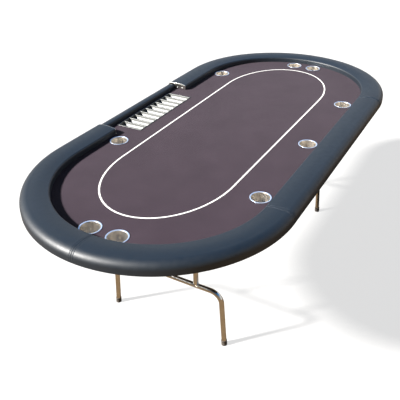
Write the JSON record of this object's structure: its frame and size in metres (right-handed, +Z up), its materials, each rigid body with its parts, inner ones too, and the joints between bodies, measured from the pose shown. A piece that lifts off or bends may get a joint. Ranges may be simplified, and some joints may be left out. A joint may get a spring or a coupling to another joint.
{
  "type": "folding poker table",
  "caption": "Racetrack poker table with a padded rail, cloth top, drop-in cup holders, a dealer's chip tray and folding wishbone legs.",
  "frame": {"origin": "on the floor, under the middle of the table", "axes": "+X along the table's length, +Y to the dealer's side, +Z up"},
  "size_m": [2.25, 1.09, 0.76],
  "materials": {
    "board_wood": "stained black",
    "foam": "open-cell foam",
    "speed_cloth": "fine woven polyester",
    "line_white": "printed white",
    "leatherette": "satin, fine grain",
    "end_cap_metal": "satin",
    "zinc_steel": "zinc plated",
    "cup_steel": "polished stainless",
    "tray_aluminium": "bright",
    "chrome_tube": "bright chrome",
    "glide_rubber": "matte",
    "bracket_steel": "zinc plated",
    "stay_steel": "zinc plated"
  },
  "bodies": {
    "table_top": {"table_board": "board_wood", "rail_board": "board_wood", "foam_underlay": "foam", "rail_pad_front": "foam", "dealer_rail_pad": "foam", "rail_pad_near_front": "foam", "rail_pad_near_rear": "foam", "rail_pad_far_front": "foam", "rail_pad_far_rear": "foam", "speed_cloth": "speed_cloth", "betting_line": "line_white", "rail_cover_front": "leatherette", "dealer_rail_cover": "leatherette", "rail_cover_near_front": "leatherette", "rail_cover_near_rear": "leatherette", "rail_cover_far_front": "leatherette", "rail_cover_far_rear": "leatherette", "near_rail_end_cap": "end_cap_metal", "far_rail_end_cap": "end_cap_metal", "rail_bolts": "zinc_steel", "rail_t_nuts": "zinc_steel", "end_cap_screws": "zinc_steel", "bracket_screws": "zinc_steel", "leg_hinge_pins": "zinc_steel", "stay_bracket_pins": "zinc_steel", "cup_holder_1": "cup_steel", "cup_holder_2": "cup_steel", "cup_holder_3": "cup_steel", "cup_holder_4": "cup_steel", "cup_holder_5": "cup_steel", "cup_holder_6": "cup_steel", "cup_holder_7": "cup_steel", "cup_holder_8": "cup_steel", "cup_holder_9": "cup_steel", "chip_tray": "tray_aluminium", "near_hinge_bracket_front": "bracket_steel", "near_hinge_bracket_rear": "bracket_steel", "far_hinge_bracket_front": "bracket_steel", "far_hinge_bracket_rear": "bracket_steel", "near_stay_bracket_front": "bracket_steel", "near_stay_bracket_rear": "bracket_steel", "far_stay_bracket_front": "bracket_steel", "far_stay_bracket_rear": "bracket_steel"},
    "near_leg": {"near_leg_u_tube": "chrome_tube", "near_leg_struts": "chrome_tube", "near_leg_glides": "glide_rubber", "near_stay_pins": "zinc_steel"},
    "near_stay_upper": {"near_stay_upper_front": "stay_steel", "near_stay_upper_rear": "stay_steel"},
    "near_stay_lower": {"near_stay_lower_front": "stay_steel", "near_stay_lower_rear": "stay_steel"},
    "far_leg": {"far_leg_u_tube": "chrome_tube", "far_leg_struts": "chrome_tube", "far_leg_glides": "glide_rubber", "far_stay_pins": "zinc_steel"},
    "far_stay_upper": {"far_stay_upper_front": "stay_steel", "far_stay_upper_rear": "stay_steel"},
    "far_stay_lower": {"far_stay_lower_front": "stay_steel", "far_stay_lower_rear": "stay_steel"}
  },
  "joints": [
    {"name": "near_leg_fold", "type": "hinge", "parent": "table_top", "child": "near_leg", "pos_m": [-0.6, 0, 0.692], "axis": [0, -1, 0], "range_deg": [0, 90]},
    {"name": "near_stay_upper_swing", "type": "hinge", "parent": "table_top", "child": "near_stay_upper", "pos_m": [-0.26, 0, 0.692], "axis": [0, -1, 0], "range_deg": [-29.65, 0]},
    {"name": "near_stay_lower_swing", "type": "hinge", "parent": "near_leg", "child": "near_stay_lower", "pos_m": [-0.6, 0, 0.5], "axis": [0, -1, 0], "range_deg": [0, 60.75]},
    {"name": "far_leg_fold", "type": "hinge", "parent": "table_top", "child": "far_leg", "pos_m": [0.6, 0, 0.692], "axis": [0, 1, 0], "range_deg": [0, 87]},
    {"name": "far_stay_upper_swing", "type": "hinge", "parent": "table_top", "child": "far_stay_upper", "pos_m": [0.26, 0, 0.692], "axis": [0, 1, 0], "range_deg": [-29.24, 0]},
    {"name": "far_stay_lower_swing", "type": "hinge", "parent": "far_leg", "child": "far_stay_lower", "pos_m": [0.6, 0, 0.5], "axis": [0, 1, 0], "range_deg": [0, 59.92]}
  ],
  "couplings": [
    {"joint": "near_stay_upper_swing", "follows": "near_leg_fold", "ratio": -0.32727},
    {"joint": "near_stay_lower_swing", "follows": "near_leg_fold", "ratio": 0.67273},
    {"joint": "far_stay_upper_swing", "follows": "far_leg_fold", "ratio": -0.33376},
    {"joint": "far_stay_lower_swing", "follows": "far_leg_fold", "ratio": 0.68644}
  ]
}
